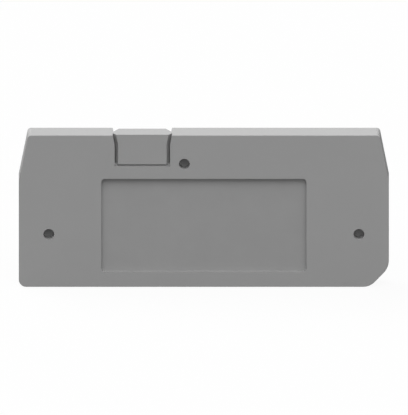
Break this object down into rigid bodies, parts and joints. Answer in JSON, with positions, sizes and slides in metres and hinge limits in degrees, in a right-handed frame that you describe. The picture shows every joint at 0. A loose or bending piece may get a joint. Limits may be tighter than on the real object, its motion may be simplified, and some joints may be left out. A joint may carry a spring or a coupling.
{
  "type": "terminal block end cover",
  "caption": "Moulded end cover for rail-mounted terminal blocks: ribbed back with locating pins, blind sockets, a recessed label field and a break-out tab.",
  "frame": {"origin": "middle of the straight foot edge, halfway through the plate's thickness and halfway along its length", "axes": "+X along the cover towards its cut corner, +Y out of the pinned back, +Z from the foot edge up to the tab edge; the labelled front looks towards -Y"},
  "size_m": [0.072, 0.0082, 0.0304],
  "materials": {
    "grey_moulding": "fine satin texture, as moulded"
  },
  "bodies": {
    "root": {"end_cover": "grey_moulding"}
  },
  "joints": []
}
